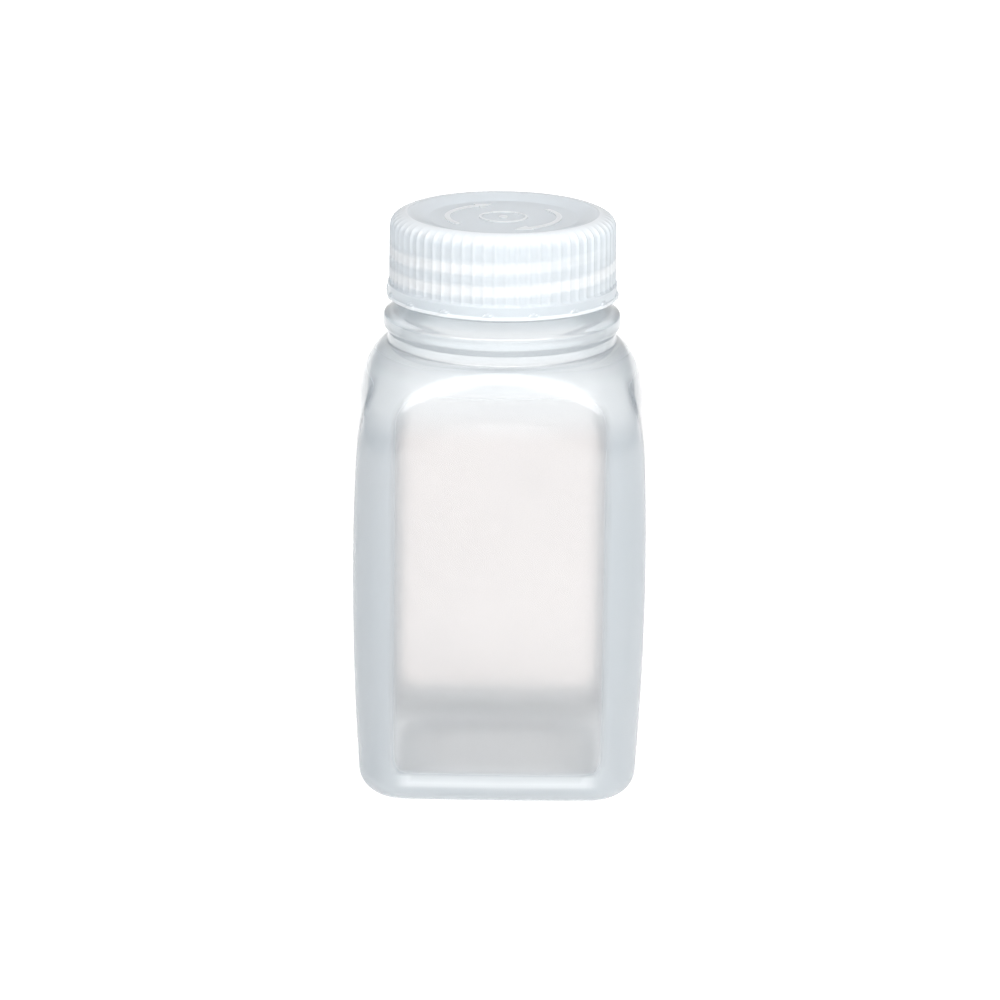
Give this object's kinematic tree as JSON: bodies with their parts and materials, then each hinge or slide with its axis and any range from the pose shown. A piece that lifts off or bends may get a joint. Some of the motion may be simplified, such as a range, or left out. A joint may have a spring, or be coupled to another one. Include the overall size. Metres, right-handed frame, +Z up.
{
  "type": "reagent bottle",
  "caption": "Square wide-mouth translucent plastic bottle with rounded shoulders, a beaded neck and a ribbed screw closure that unscrews along its thread.",
  "frame": {"origin": "centre of the standing ring, on the surface that the bottle stands on", "axes": "+Z up along the neck's axis, the front panel faces -Y, +X to the right"},
  "size_m": [0.0594, 0.0594, 0.1163],
  "materials": {
    "bottle_plastic": "natural translucent copolymer, satin",
    "closure_plastic": "natural translucent polypropylene, satin",
    "seal_plastic": "natural translucent polypropylene, smooth"
  },
  "bodies": {
    "bottle_body": {"bottle": "bottle_plastic"},
    "closure_carrier": {"closure_seal_ring": "seal_plastic"},
    "closure_body": {"closure": "closure_plastic"}
  },
  "joints": [
    {"name": "closure_lift", "type": "slide", "parent": "bottle_body", "child": "closure_carrier", "axis": [0, 0, 1], "range_m": [0, 0.0168]},
    {"name": "closure_turn", "type": "hinge", "parent": "closure_carrier", "child": "closure_body", "pos_m": [0, 0, 0.1], "axis": [0, 0, 1], "range_deg": [0, 1350]}
  ],
  "couplings": [
    {"joint": "closure_lift", "follows": "closure_turn", "m_per_rad": 0.00070824}
  ]
}
